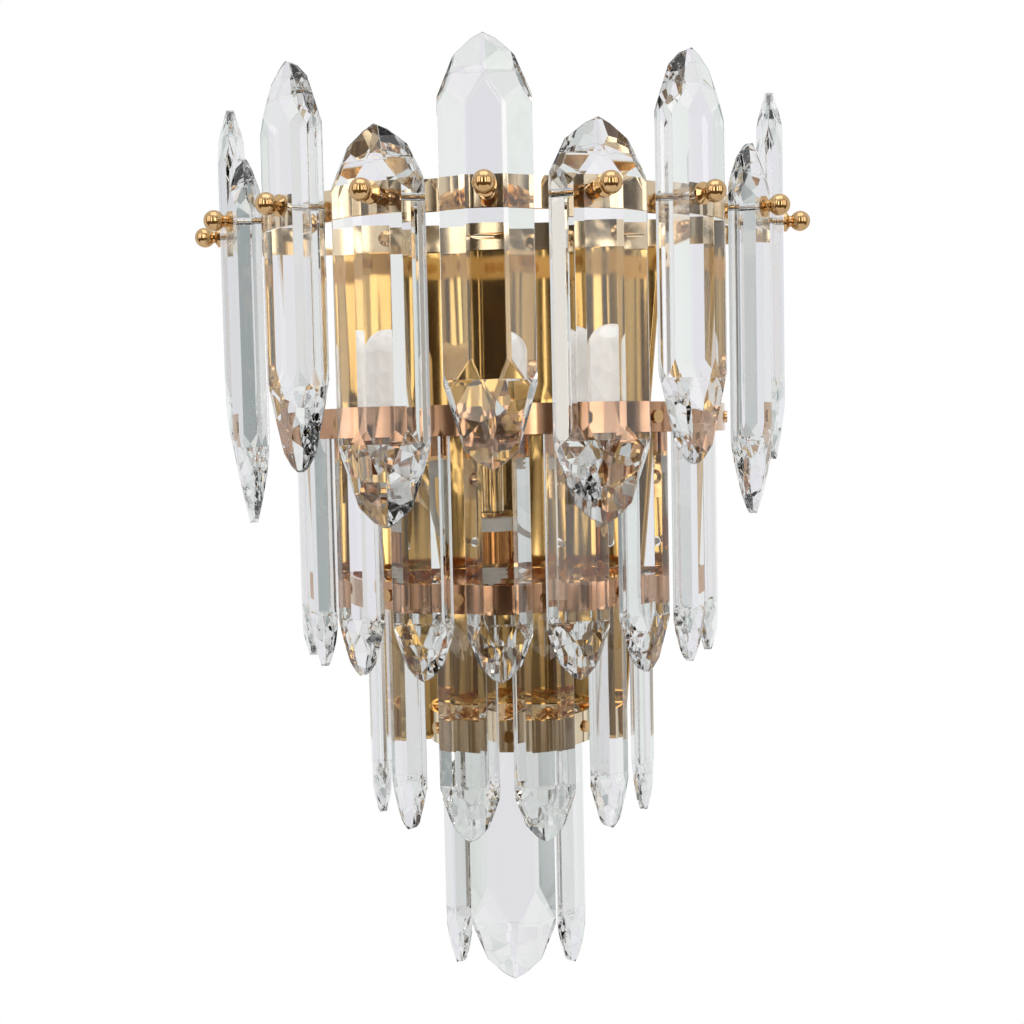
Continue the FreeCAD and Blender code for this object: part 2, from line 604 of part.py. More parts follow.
def make_pan():
    """Pressed pan, open to the wall, with holes for the studs, the screws and the lamp leads."""
    body = new_body("backplate")
    corners = [("-Sizes.pan_bottom_half", "-Sizes.pan_bottom"),
               ("Sizes.pan_bottom_half", "-Sizes.pan_bottom"),
               ("Sizes.pan_top_half", "Sizes.pan_top"), ("-Sizes.pan_top_half", "Sizes.pan_top")]
    outside = new_sketch(body, "pan_outside", "XZ_Plane")
    polygon(outside, corners)
    block = pad(body, outside, "Sizes.pan_depth")
    fillet(body, block, lambda edge: min(v.Y for v in edge.Vertexes) < -size("pan_wall"), "Sizes.pan_corner")
    inside = new_sketch(body, "pan_inside", "XZ_Plane")
    polygon(inside, [(x + (" + " if x[0] == "-" else " - ") + "Sizes.pan_wall",
                      z + (" + " if z[0] == "-" else " - ") + "Sizes.pan_wall") for x, z in corners])
    pocket(body, inside, length="Sizes.pan_depth - Sizes.pan_wall", reverse=True)
    holes = new_sketch(body, "pan_holes", "XZ_Plane")
    for x, z in screw_places:
        circle(holes, x, z, "Sizes.screw_radius + Sizes.stud_fit")
    for x, z in STUD_PLACES:
        circle(holes, x, z, "Sizes.stud_radius + Sizes.stud_fit")
    for lamp, place in LAMPS.items():
        circle(holes, place["x"], lead_height(lamp), "Sizes.lead_hole")
    pocket(body, holes, reverse=True)
    return body


nodes["backplate"] = make_pan()

# ---- crossbar and mounting hardware -------------------------------------------------------------

def make_crossbar():
    """Flat bar on the wall box: two slots for the box screws, holes for the studs and the ground."""
    body = new_body("crossbar")
    bar = new_sketch(body, "bar_outline", "XZ_Plane")
    rectangle(bar, "Sizes.bar_half", "Sizes.bar_tall / 2")
    pad(body, bar, "Sizes.bar_thick")
    round_holes = new_sketch(body, "bar_round_holes", "XZ_Plane")
    circle(round_holes, "0", "0", "Sizes.bar_bore")
    circle(round_holes, "Sizes.ground_place", "0", "Sizes.screw_radius + Sizes.stud_fit")
    for x, z in STUD_PLACES:
        circle(round_holes, x, z, "Sizes.stud_radius + Sizes.stud_fit")
    for sign in ("-", ""):
        for end in ("-", "+"):
            x = f"{sign}Sizes.slot_place {end} (Sizes.slot_half - Sizes.slot_radius)"
            circle(round_holes, x, "0", "Sizes.slot_radius")
    pocket(body, round_holes, both=True)
    slots = new_sketch(body, "bar_slots", "XZ_Plane")
    straight = "(Sizes.slot_half - Sizes.slot_radius)"
    for sign in ("-", ""):
        rectangle(slots, straight, "Sizes.slot_radius", f"{sign}Sizes.slot_place")
    pocket(body, slots, both=True)
    return body


def make_screw(name, length):
    """Pan head screw pointing to +Y, with the underside of its head at the origin."""
    body = new_body(name)
    sketch = new_sketch(body, f"{name}_profile", "XY_Plane")
    polygon(sketch, [("0", "-Sizes.head_thick"), ("Sizes.head_radius / 2", "-Sizes.head_thick"),
                     ("Sizes.head_radius", "-Sizes.head_thick / 2"), ("Sizes.head_radius", "0"),
                     ("Sizes.screw_radius", "0"), ("Sizes.screw_radius", length), ("0", length)])
    revolve(body, sketch, "V_Axis")
    return body


def make_nut():
    """Hexagon nut lying from the origin towards +Y."""
    body = new_body("hexagon_nut")
    sketch = new_sketch(body, "nut_outline", "XZ_Plane")
    polygon(sketch, [(f"Sizes.nut_radius * cos({60 * side})", f"Sizes.nut_radius * sin({60 * side})")
                     for side in range(6)])
    circle(sketch, "0", "0", "Sizes.screw_radius + Sizes.pin_fit")
    pad(body, sketch, "Sizes.nut_thick", reverse=True)
    return body


def make_cap_nut():
    """Domed cap nut pointing to -Y from the origin, with a blind bore."""
    body = new_body("cap_nut")
    sketch = new_sketch(body, "cap_nut_profile", "XY_Plane")
    polygon(sketch, [("0", "0"), ("Sizes.cap_radius", "0"), ("Sizes.cap_radius", "-Sizes.cap_tall"),
                     ("0", "-Sizes.cap_tall")])
    revolve(body, sketch, "V_Axis")
    dome = body.newObject("PartDesign::AdditiveSphere", "cap_nut_dome")
    dome.setExpression("Radius", "Sizes.cap_radius")
    dome.AttachmentSupport = [(origin_part(body, "XY_Plane"), "")]
    dome.MapMode = "FlatFace"
    dome.setExpression("AttachmentOffset", at("0", "-Sizes.cap_tall", "0"))
    bore = new_sketch(body, "cap_nut_bore", "XZ_Plane")
    circle(bore, "0", "0", "Sizes.stud_radius + Sizes.pin_fit")
    pocket(body, bore, length="Sizes.cap_tall", reverse=True)
    return body


nodes["crossbar"] = make_crossbar()
stud = doc.addObject("Part::Cylinder", "stud")
stud.setExpression("Radius", "Sizes.stud_radius")
stud.setExpression("Height", "Sizes.pan_depth + Sizes.cap_tall - Sizes.stud_fit")
nodes["mounting_studs"] = copies("mounting_studs",
                                 [(stud, at(x, "0", z, "90", "1; 0; 0")) for x, z in STUD_PLACES])
cap_nut = make_cap_nut()
nodes["cap_nuts"] = copies("cap_nuts", [(cap_nut, at(x, "-Sizes.pan_depth", z)) for x, z in STUD_PLACES])
shank = "Sizes.band_thick + Sizes.pan_wall + Sizes.nut_thick + Sizes.screw_spare"
plate_screw = make_screw("plate_screw", shank)
HEAD_OUT = "-(Sizes.pan_depth + Sizes.band_thick)"
nodes["plate_screws"] = copies("plate_screws", [(plate_screw, at(x, HEAD_OUT, z)) for x, z in screw_places])
nut = make_nut()
behind_pan = "-(Sizes.pan_depth - Sizes.pan_wall)"
on_bar = "-(Sizes.bar_thick + Sizes.nut_thick)"
nodes["plate_nuts"] = copies("plate_nuts", [(nut, at(x, behind_pan, z)) for x, z in screw_places]
                             + [(nut, at(x, on_bar, z)) for x, z in STUD_PLACES])
ground = make_screw("ground_terminal", "Sizes.bar_thick - Sizes.stud_fit")
nodes["ground_screw"] = copies("ground_screw", [(ground, at("Sizes.ground_place", "-Sizes.bar_thick", "0"))])

# ---- lamps ------------------------------------------------------------------------------------

def make_bracket(lamp):
    """Bent strip: a flange on the pan and an arm under the socket."""
    place = LAMPS[lamp]
    body = new_body(f"{lamp}_bracket")
    sign = "-" if place["flange"] == "down" else ""
    reach = f"-({place['out']} - Sizes.pan_depth + Sizes.bracket_wide / 2)"
    thick = "Sizes.band_thick"
    profile = new_sketch(body, f"{lamp}_bracket_profile", "YZ_Plane")
    polygon(profile, [("0", "0"), (reach, "0"), (reach, f"{sign}{thick}"), (f"-{thick}", f"{sign}{thick}"),
                      (f"-{thick}", f"{sign}Sizes.bracket_flange"), ("0", f"{sign}Sizes.bracket_flange")])
    pad(body, profile, "Sizes.bracket_wide", both=True)
    stem = new_sketch(body, f"{lamp}_stem_hole", "XY_Plane")
    circle(stem, "0", f"-({place['out']} - Sizes.pan_depth)", "Sizes.stem_radius + Sizes.stud_fit")
    pocket(body, stem, both=True)
    screw = new_sketch(body, f"{lamp}_bracket_hole", "XZ_Plane")
    circle(screw, "0", f"{sign}Sizes.bracket_screw", "Sizes.screw_radius + Sizes.stud_fit")
    pocket(body, screw, both=True)
    body.setExpression("Placement", at(place["x"], "-Sizes.pan_depth", bracket_corner(lamp)))
    return body


def make_socket(name):
    """Ceramic lamp socket on a hollow stem, with a slot for the lamp's flat foot; top at the origin."""
    body = new_body(name)
    foot = "-(Sizes.socket_tall + Sizes.band_thick + Sizes.stem_length)"
    profile = new_sketch(body, f"{name}_profile", "XZ_Plane")
    polygon(profile, [("0", "0"), ("Sizes.socket_radius", "0"), ("Sizes.socket_radius", "-Sizes.socket_cap"),
                      ("Sizes.socket_body_radius", "-Sizes.socket_cap"),
                      ("Sizes.socket_body_radius", "-Sizes.socket_tall"),
                      ("Sizes.stem_radius", "-Sizes.socket_tall"), ("Sizes.stem_radius", foot),
                      ("Sizes.stem_bore", foot), ("Sizes.stem_bore", "-Sizes.bore_top"),
                      ("0", "-Sizes.bore_top")])
    revolve(body, profile, "V_Axis")
    slot = new_sketch(body, f"{name}_slot", "XY_Plane")
    rectangle(slot, "(Sizes.pinch_wide / 2 + Sizes.pinch_fit)", "(Sizes.pinch_deep / 2 + Sizes.pinch_fit)")
    pocket(body, slot, length="Sizes.pinch_sunk")
    contacts = new_sketch(body, f"{name}_contacts", "XY_Plane")
    for sign in ("-", ""):
        circle(contacts, f"{sign}Sizes.contact_place", "0", "Sizes.contact_radius + Sizes.stud_fit")
    pocket(body, contacts, length="Sizes.pinch_sunk + Sizes.contact_length + Sizes.pinch_fit")
    return body


def make_bulb(name, kind):
    """Glass capsule with a flat foot; the socket's top is at the origin."""
    body = new_body(name)
    radius, tall = f"Sizes.{kind}_bulb_radius", f"Sizes.{kind}_bulb_tall"
    profile = new_sketch(body, f"{name}_profile", "XZ_Plane")
    polygon(profile, [("0", "Sizes.pinch_fit"), (f"{radius} - Sizes.bulb_shoulder", "Sizes.pinch_fit"),
                      (radius, "Sizes.pinch_fit + Sizes.bulb_shoulder"), (radius, tall), ("0", tall)])
    turned = revolve(body, profile, "V_Axis")
    near_top = size(f"{kind}_bulb_tall") - size("pinch_fit")
    fillet(body, turned, lambda edge: edge.BoundBox.ZMin > near_top and len(edge.Vertexes) == 1,
           f"{radius} - Sizes.bulb_flat")
    foot = new_sketch(body, f"{name}_foot", "XY_Plane")
    rectangle(foot, "Sizes.pinch_wide / 2", "Sizes.pinch_deep / 2")
    pad(body, foot, "Sizes.foot_root", other="Sizes.pinch_sunk - Sizes.pinch_fit")
    return body


def make_cup():
    """Metal sleeve round a socket's body, standing on the bracket; the socket's top at the origin."""
    body = new_body("socket_cup")
    profile = new_sketch(body, "cup_profile", "XZ_Plane")
    inner = "Sizes.socket_body_radius + Sizes.cup_fit"
    polygon(profile, [(inner, "-Sizes.socket_cap"), (f"{inner} + Sizes.cup_wall", "-Sizes.socket_cap"),
                      (f"{inner} + Sizes.cup_wall", "-Sizes.socket_tall"), (inner, "-Sizes.socket_tall")])
    revolve(body, profile, "V_Axis")
    return body


def make_stem_nut():
    """Ribbed nut that clamps a socket's stem to its bracket from below; its top at the origin."""
    body = new_body("stem_nut")
    profile = new_sketch(body, "stem_nut_profile", "XZ_Plane")
    bore = "Sizes.stem_radius + Sizes.pin_fit"
    corners = [(bore, "0")]
    for rib in range(3):
        top, low, end = (f"-{2 * rib + step} * Sizes.stem_nut_rib" for step in range(3))
        corners += [("Sizes.stem_nut_radius", top), ("Sizes.stem_nut_radius", low)]
        if rib < 2:
            corners += [("Sizes.stem_nut_radius - Sizes.stem_nut_groove", low),
                        ("Sizes.stem_nut_radius - Sizes.stem_nut_groove", end)]
    corners.append((bore, low))
    polygon(profile, corners)
    revolve(body, profile, "V_Axis")
    return body


cup = make_cup()
stem_nut = make_stem_nut()
contact = doc.addObject("Part::Cylinder", "contact")
contact.setExpression("Radius", "Sizes.contact_radius")
contact.setExpression("Height", "Sizes.contact_length")
cup_copies, nut_copies, contact_copies = [], [], []
for lamp, place in LAMPS.items():
    out, top = f"-{place['out']}", f"-{place['fall']}"
    nodes[f"{lamp}_bracket"] = make_bracket(lamp)
    nodes[f"{lamp}_socket"] = make_socket(f"{lamp}_socket")
    nodes[f"{lamp}_bulb"] = make_bulb(f"{lamp}_bulb", place["bulb"])
    for part in ("socket", "bulb"):
        nodes[f"{lamp}_{part}"].setExpression("Placement", at(place["x"], out, top))
    cup_copies.append((cup, at(place["x"], out, top)))
    nut_copies.append((stem_nut, at(place["x"], out, f"{top} - Sizes.socket_tall - Sizes.band_thick")))
    foot = f"{top} - Sizes.pinch_sunk + Sizes.pinch_fit - Sizes.contact_length"
    for sign in ("-", "+"):
        contact_copies.append((contact, at(f"{place['x']} {sign} Sizes.contact_place", out, foot)))
nodes["socket_cups"] = copies("socket_cups", cup_copies)
nodes["stem_nuts"] = copies("stem_nuts", nut_copies)
nodes["bulb_contacts"] = copies("bulb_contacts", contact_copies)

# ---- wiring -----------------------------------------------------------------------------------

def make_block():
    """Terminal block on the inside of the pan, with three ports from top to bottom."""
    body = new_body("terminal_block")
    outline = new_sketch(body, "block_outline", "XZ_Plane")
    rectangle(outline, "Sizes.block_wide / 2", "Sizes.block_tall / 2")
    pad(body, outline, "Sizes.block_deep", reverse=True)
    ports = new_sketch(body, "block_ports", "XY_Plane")
    for step in (-1, 0, 1):
        circle(ports, f"{step} * Sizes.block_wide / 3", "Sizes.block_deep / 2", "Sizes.port_radius")
    pocket(body, ports, both=True)
    body.setExpression("Placement", at("0", behind_pan, "-Sizes.block_fall"))
    return body


def tube(route, radius):
    """Round tube along straight runs joined by tangent arcs, as large as their runs allow."""
    start, edges, tightest = route[0], [], None
    for before, corner, after in zip(route, route[1:], route[2:]):
        inward, outward = corner - before, after - corner
        cut = size("lead_arc_share") * min(inward.Length, outward.Length)
        half_turn = inward.getAngle(outward) / 2
        entry = corner - inward.normalize() * cut
        leave = corner + outward.normalize() * cut
        bend = cut / math.tan(half_turn)
        middle_way = (entry + leave) * 0.5 - corner
        centre = corner + middle_way.normalize() * (bend / math.cos(half_turn))
        middle = centre + (corner - centre).normalize() * bend
        edges += [Part.LineSegment(start, entry).toShape(), Part.Arc(entry, middle, leave).toShape()]
        tightest = bend if tightest is None else min(tightest, bend)
        start = leave
    edges.append(Part.LineSegment(start, route[-1]).toShape())
    path = Part.Wire(edges)
    ring = Part.Circle(route[0], route[1] - route[0], radius).toShape()
    solid = path.makePipeShell([Part.Wire([ring])], True, False)
    expected = math.pi * radius ** 2 * path.Length
    print(f"lead {path.Length:.0f} mm, tightest bend {tightest:.1f}, volume {solid.Volume / expected:.4f}")
    return solid


def lead_route(lamp):
    """Route of one lead: down out of its stem, back through the pan and up into its port."""
    place = LAMPS[lamp]
    x, out, fall, hole = (float(sheet.evalExpression(text)) for text in
                          (place["x"], place["out"], place["fall"], lead_height(lamp)))
    stem_end = hole + size("lead_drop")
    second = Vector(x, -out + size("lead_back"), stem_end - size("lead_second"))
    pan_front = -size("pan_depth")
    inside = -size("lead_clear")
    port_x = place["port"] * size("block_wide") / 3
    port_y = pan_front + size("pan_wall") + size("block_deep") / 2
    port = Vector(port_x, port_y, -size("block_fall") - size("block_tall") / 2)
    route = [Vector(x, -out, -fall - size("bore_top")), Vector(x, -out, stem_end - size("lead_straight")),
             second, Vector(x, pan_front - size("lead_before"), hole), Vector(x, inside, hole)]
    if place["bulb"] == "upper":
        aside = (port.x - x) * size("upper_lead_share")
        route += [Vector(x + aside, inside, hole - size("upper_lead_sag")),
                  port - Vector(0, 0, size("upper_lead_run"))]
    else:
        lean = size("lower_lead_lean")
        route += [Vector(x + lean, inside, hole + size("lower_lead_rise")),
                  port + Vector(-lean, lean, -size("lower_lead_run"))]
    route.append(port + Vector(0, 0, size("port_grip")))
    return route


nodes["terminal_block"] = make_block()
doc.recompute()
leads = doc.addObject("Part::Feature", "lamp_leads")
leads.Shape = Part.makeCompound([tube(lead_route(lamp), size("lead_radius")) for lamp in LAMPS])
nodes["lamp_leads"] = leads

# ---- check and write --------------------------------------------------------------------------

doc.recompute()
for thing in doc.Objects:
    if "Invalid" in thing.State or "Error" in thing.State:
        raise RuntimeError(f"{thing.Label} did not build: {thing.State}")
os.makedirs("parts", exist_ok=True)
for name, node in nodes.items():
    node.Label = name
    if node.Shape.isNull() or not node.Shape.isValid():
        raise RuntimeError(f"{name} has no valid shape")
    node.Shape.exportStep(f"parts/{name}.step")
print(f"{len(nodes)} nodes written")
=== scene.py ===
import math

import bpy
from mathutils import Matrix, Vector


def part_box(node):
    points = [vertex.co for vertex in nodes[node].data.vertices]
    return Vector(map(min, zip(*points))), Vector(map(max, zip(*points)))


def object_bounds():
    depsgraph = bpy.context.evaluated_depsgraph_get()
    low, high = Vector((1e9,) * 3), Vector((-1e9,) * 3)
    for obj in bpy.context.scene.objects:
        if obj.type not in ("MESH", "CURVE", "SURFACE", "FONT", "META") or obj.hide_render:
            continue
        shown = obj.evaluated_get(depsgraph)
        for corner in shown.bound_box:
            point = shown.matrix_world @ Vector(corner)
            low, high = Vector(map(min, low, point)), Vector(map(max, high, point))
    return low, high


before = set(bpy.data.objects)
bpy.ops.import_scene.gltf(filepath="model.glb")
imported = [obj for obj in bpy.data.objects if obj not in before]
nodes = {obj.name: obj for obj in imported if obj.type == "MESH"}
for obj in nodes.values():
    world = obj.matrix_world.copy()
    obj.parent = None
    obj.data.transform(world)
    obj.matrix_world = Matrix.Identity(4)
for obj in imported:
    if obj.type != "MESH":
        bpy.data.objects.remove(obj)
cad_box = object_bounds()
MM = 0.001
WHITE = "#FFFFFF"


# ---- colours, nodes and kinds of surface ------------------------------------------------------

def linear(hex_colour):
    """sRGB hex, such as "#E8B75E", as a linear colour."""
    channels = [int(hex_colour[place:place + 2], 16) / 255 for place in (1, 3, 5)]
    return tuple(c / 12.92 if c <= 0.04045 else ((c + 0.055) / 1.055) ** 2.4 for c in channels) + (1.0,)


def add(tree, kind, settings=None, links=None):
    """A node of that kind with its settings and input values; links name what feeds an input."""
    node = tree.nodes.new(kind)
    for key, value in (settings or {}).items():
        if isinstance(key, str) and key.islower():
            setattr(node, key, value)
        else:
            node.inputs[key].default_value = value
    for key, source in (links or {}).items():
        tree.links.new(source, node.inputs[key])
    return node


def new_material(name):
    material = bpy.data.materials.new(name)
    material.use_nodes = True
    material.node_tree.nodes.clear()
    return material, material.node_tree


def polished_metal(name, hexes, roughness, spread, cloud_mm, relief):
    """Plated sheet or turned metal: two shades of its colour, and a polish that isn't quite flat."""
    material, tree = new_material(name)
    place = add(tree, "ShaderNodeTexCoord")
    cloud = add(tree, "ShaderNodeTexNoise", {"Scale": 1 / (cloud_mm * MM), "Detail": 3.0},
                {"Vector": place.outputs["Object"]})
    tint = add(tree, "ShaderNodeMix", {"data_type": "RGBA", 6: linear(hexes[0]), 7: linear(hexes[1])},
               {0: cloud.outputs["Fac"]})
    rough = add(tree, "ShaderNodeMapRange",
                {"To Min": roughness - spread / 2, "To Max": roughness + spread / 2},
                {"Value": cloud.outputs["Fac"]})
    bump = add(tree, "ShaderNodeBump", {"Strength": relief, "Distance": 0.2 * MM},
               {"Height": cloud.outputs["Fac"]})
    shader = add(tree, "ShaderNodeBsdfPrincipled", {"Metallic": 1.0},
                 {"Base Color": tint.outputs[2], "Roughness": rough.outputs[0], "Normal": bump.outputs[0]})
    add(tree, "ShaderNodeOutputMaterial", links={"Surface": shader.outputs[0]})
    return material


def rolled_plate(name, hexes, roughness, wave_mm, wave_depth_mm, shift_mm):
    """Polished plate with the long faint waves of rolling up and down it, which stretch what it mirrors, and
    a colour painted in streaks along the same waves as painted reflection.
    """
    material, tree = new_material(name)
    place = add(tree, "ShaderNodeTexCoord")
    along = add(tree, "ShaderNodeMapping",
                {"Location": (shift_mm * MM, 0.0, 0.0), "Scale": (1.0, 1.0, WAVE_NARROWNESS)},
                {"Vector": place.outputs["Object"]})
    wave_and_painted_streaks = add(tree, "ShaderNodeTexNoise", {"Scale": 1 / (wave_mm * MM), "Detail": 1.0},
               {"Vector": along.outputs[0]})
    # The colour is painted in streaks along the same waves, from cream to brown: painted reflection over the
    # gold.
    tint = add(tree, "ShaderNodeMix", {"data_type": "RGBA", 6: linear(hexes[0]), 7: linear(hexes[1])},
               {0: wave_and_painted_streaks.outputs["Fac"]})
    haze = add(tree, "ShaderNodeTexNoise", {"Scale": 1 / (HAZE_MM * MM), "Detail": 4.0},
               {"Vector": place.outputs["Object"]})
    rough = add(tree, "ShaderNodeMapRange", {"To Min": roughness * 0.6, "To Max": roughness * 1.5},
                {"Value": haze.outputs["Fac"]})
    bump = add(tree, "ShaderNodeBump", {"Strength": 1.0, "Distance": wave_depth_mm * MM},
               {"Height": wave_and_painted_streaks.outputs["Fac"]})
    shader = add(tree, "ShaderNodeBsdfPrincipled", {"Metallic": 1.0},
                 {"Base Color": tint.outputs[2], "Roughness": rough.outputs[0], "Normal": bump.outputs[0]})
    add(tree, "ShaderNodeOutputMaterial", links={"Surface": shader.outputs[0]})
    return material


def clear_glass(name, hex_colour, ior, swell_mm):
    """Drawn lamp glass: clear, with the slow swell of its wall."""
    material, tree = new_material(name)
    place = add(tree, "ShaderNodeTexCoord")
    swell = add(tree, "ShaderNodeTexNoise", {"Scale": 1 / (swell_mm * MM), "Detail": 1.0},
                {"Vector": place.outputs["Object"]})
    bump = add(tree, "ShaderNodeBump", {"Strength": 0.2, "Distance": 0.1 * MM},
               {"Height": swell.outputs["Fac"]})
    shader = add(tree, "ShaderNodeBsdfPrincipled",
                 {"Base Color": linear(hex_colour), "Transmission Weight": 1.0, "IOR": ior, "Roughness": 0.0},
                 {"Normal": bump.outputs[0]})
    add(tree, "ShaderNodeOutputMaterial", links={"Surface": shader.outputs[0]})
    return material


def cut_glass(name, hex_colour, ior, edge_mm, facet_mm, lean, low_end, high_end):
    """Cut crystal: long flat faces with slightly round edges, and small leaning facets past both ends."""
    material, tree = new_material(name)
    place = add(tree, "ShaderNodeTexCoord")
    cell = add(tree, "ShaderNodeTexVoronoi", {"Scale": 1 / (facet_mm * MM)},
               {"Vector": place.outputs["Object"]})
    tilt = add(tree, "ShaderNodeVectorMath", {"operation": "SUBTRACT", 1: (0.5, 0.5, 0.5)},
               {0: cell.outputs["Color"]})
    inside = add(tree, "ShaderNodeVectorMath", {"operation": "SUBTRACT"},
                 {0: place.outputs["Object"], 1: cell.outputs["Position"]})
    slope = add(tree, "ShaderNodeVectorMath", {"operation": "DOT_PRODUCT"},
                {0: tilt.outputs[0], 1: inside.outputs[0]})
    along = add(tree, "ShaderNodeSeparateXYZ", links={0: place.outputs["Object"]})
    at_foot = add(tree, "ShaderNodeMath", {"operation": "LESS_THAN", 1: low_end}, {0: along.outputs["Z"]})
    at_top = add(tree, "ShaderNodeMath", {"operation": "GREATER_THAN", 1: high_end},
                 {0: along.outputs["Z"]})
    at_ends = add(tree, "ShaderNodeMath", {"operation": "ADD"},
                  {0: at_foot.outputs[0], 1: at_top.outputs[0]})
    height = add(tree, "ShaderNodeMath", {"operation": "MULTIPLY"},
                 {0: slope.outputs["Value"], 1: at_ends.outputs[0]})
    edge = add(tree, "ShaderNodeBevel", {"samples": 4, "Radius": edge_mm * MM})
    bump = add(tree, "ShaderNodeBump", {"Strength": 1.0, "Distance": lean},
               {"Height": height.outputs[0], "Normal": edge.outputs[0]})
    shader = add(tree, "ShaderNodeBsdfPrincipled",
                 {"Base Color": linear(hex_colour), "Transmission Weight": 1.0, "IOR": ior, "Roughness": 0.0},
                 {"Normal": bump.outputs[0]})
    add(tree, "ShaderNodeOutputMaterial", links={"Surface": shader.outputs[0]})
    return material


def etched_glass(name, hex_colour, ior, clear_share, roughness, cut_mm, cut_depth_mm, painted_glow_hex, painted_glow):
    """Milky lamp glass, cut all over into small facets, with a faint emission that is painted light to
    brighten it.
    """
    material, tree = new_material(name)
    place = add(tree, "ShaderNodeTexCoord")
    upright = add(tree, "ShaderNodeMapping", {"Scale": (1.0, 1.0, CUT_NARROWNESS)},
                  {"Vector": place.outputs["Object"]})
    cut = add(tree, "ShaderNodeTexVoronoi", {"Scale": 1 / (cut_mm * MM)}, {"Vector": upright.outputs[0]})
    bump = add(tree, "ShaderNodeBump", {"Strength": 1.0, "Distance": cut_depth_mm * MM},
               {"Height": cut.outputs["Distance"]})
    # The emission is painted light: it makes the lamp glass brighter.
    shader = add(tree, "ShaderNodeBsdfPrincipled",
                 {"Base Color": linear(hex_colour), "Transmission Weight": clear_share, "IOR": ior,
                  "Roughness": roughness, "Emission Color": linear(painted_glow_hex), "Emission Strength": painted_glow},
                 {"Normal": bump.outputs[0]})
    add(tree, "ShaderNodeOutputMaterial", links={"Surface": shader.outputs[0]})
    return material


def moulded(name, hexes, roughness, grain_mm, relief):
    """Plastic, ceramic or woven sleeve: a speckle of two shades and a fine relief."""
    material, tree = new_material(name)
    place = add(tree, "ShaderNodeTexCoord")
    grain = add(tree, "ShaderNodeTexNoise", {"Scale": 1 / (grain_mm * MM), "Detail": 4.0},
                {"Vector": place.outputs["Object"]})
    tint = add(tree, "ShaderNodeMix", {"data_type": "RGBA", 6: linear(hexes[0]), 7: linear(hexes[1])},
               {0: grain.outputs["Fac"]})
    bump = add(tree, "ShaderNodeBump", {"Strength": relief, "Distance": 0.1 * MM},
               {"Height": grain.outputs["Fac"]})
    shader = add(tree, "ShaderNodeBsdfPrincipled", {"Roughness": roughness},
                 {"Base Color": tint.outputs[2], "Normal": bump.outputs[0]})
    add(tree, "ShaderNodeOutputMaterial", links={"Surface": shader.outputs[0]})
    return material


# ---- materials --------------------------------------------------------------------------------

# How much slower a pattern changes up the object than across it, and the size of the pan's wiping haze.
WAVE_NARROWNESS, CUT_NARROWNESS, HAZE_MM = 0.06, 0.6, 25

# Gold plate on rolled sheet: a warm mirror whose waves draw out what it mirrors into long upright streaks.
# Its colour is also painted in streaks from cream to brown, a painted reflection of bright and dark over the
# gold.
pan_gold = rolled_plate("rolled_gold_plate", ("#EFD092", "#A4742F"), roughness=0.06, wave_mm=26,
                        wave_depth_mm=3.0, shift_mm=85)
# Gold plate on bent strip: pale and creamy, and calmer than the pan.
ring_gold = polished_metal("bent_gold_strip", ("#FBEBD3", "#EBD0A8"), roughness=0.08, spread=0.05,
                           cloud_mm=12, relief=0.08)
# Rose gold plate on bent strip: pinker and darker, so that the two middle rings stand out from the pan.
ring_rose = polished_metal("bent_rose_gold_strip", ("#DDB698", "#BC8A69"), roughness=0.10, spread=0.05,
                           cloud_mm=12, relief=0.08)
# Gold plate on turned pins, balls and brackets: the brightest polish, with a small sharp highlight.
turned_gold = polished_metal("turned_gold_plate", ("#E6C594", "#C0925E"), roughness=0.07, spread=0.05,
                             cloud_mm=4, relief=0.05)
# Spun copper cup: a red-brown shine, softer from its spinning marks.
copper_cup = polished_metal("spun_copper_cup", ("#CE955F", "#A66F3E"), roughness=0.14, spread=0.05,
                            cloud_mm=6, relief=0.08)
# Zinc plate: dull blue-grey and cloudy, plainly a hidden steel part.
zinc = polished_metal("zinc_plated_steel", ("#C9CCD0", "#A9ADB2"), roughness=0.32, spread=0.12,
                      cloud_mm=2, relief=0.15)
# Nickel wire: clean and silvery, for the lamps' pins.
nickel = polished_metal("bright_nickel_wire", ("#D8D8D6", "#BEBEBC"), roughness=0.15, spread=0.05,
                        cloud_mm=2, relief=0.05)
# Green dyed zinc: the flat green by which a ground screw is known.
green_zinc = polished_metal("green_dyed_zinc", ("#3F7A48", "#2E6238"), roughness=0.35, spread=0.05,
                            cloud_mm=2, relief=0.1)
# Glazed steatite: an off-white with a soft wet shine. Its speckle is drawn coarser than the real one.
ceramic = moulded("glazed_steatite", ("#F2EFEA", "#E6E3DC"), roughness=0.22, grain_mm=1.5, relief=0.05)
# Moulded nylon: matt cream.
nylon = moulded("moulded_nylon", ("#E6E3D9", "#D8D4C8"), roughness=0.45, grain_mm=1.0, relief=0.1)
# Woven glass sleeve: chalky, with a fine weave that breaks up its edge.
sleeve = moulded("woven_glass_sleeve", ("#ECE9E1", "#D6D2C6"), roughness=0.7, grain_mm=0.4, relief=0.5)
# Clear quartz: all but colourless, seen by its edges and highlights only.
quartz = clear_glass("clear_quartz_capsule", "#FAFAFA", ior=1.46, swell_mm=14)
# Etched and cut lamp glass: a snowy white block that sparkles a little through the crystals. Its faint
# emission is painted light that makes it brighter.
frosted = etched_glass("etched_lamp_glass", WHITE, ior=1.47, clear_share=0.2, roughness=0.15, cut_mm=5.0,
                       cut_depth_mm=1.5, painted_glow_hex="#FFF8F0", painted_glow=0.2)

# How far up a crystal its lower cut point reaches, and how far down the upper one, as shares of its height.
FOOT_SHARE, TOP_SHARE = 0.21, 0.09
crystal_glasses = {}


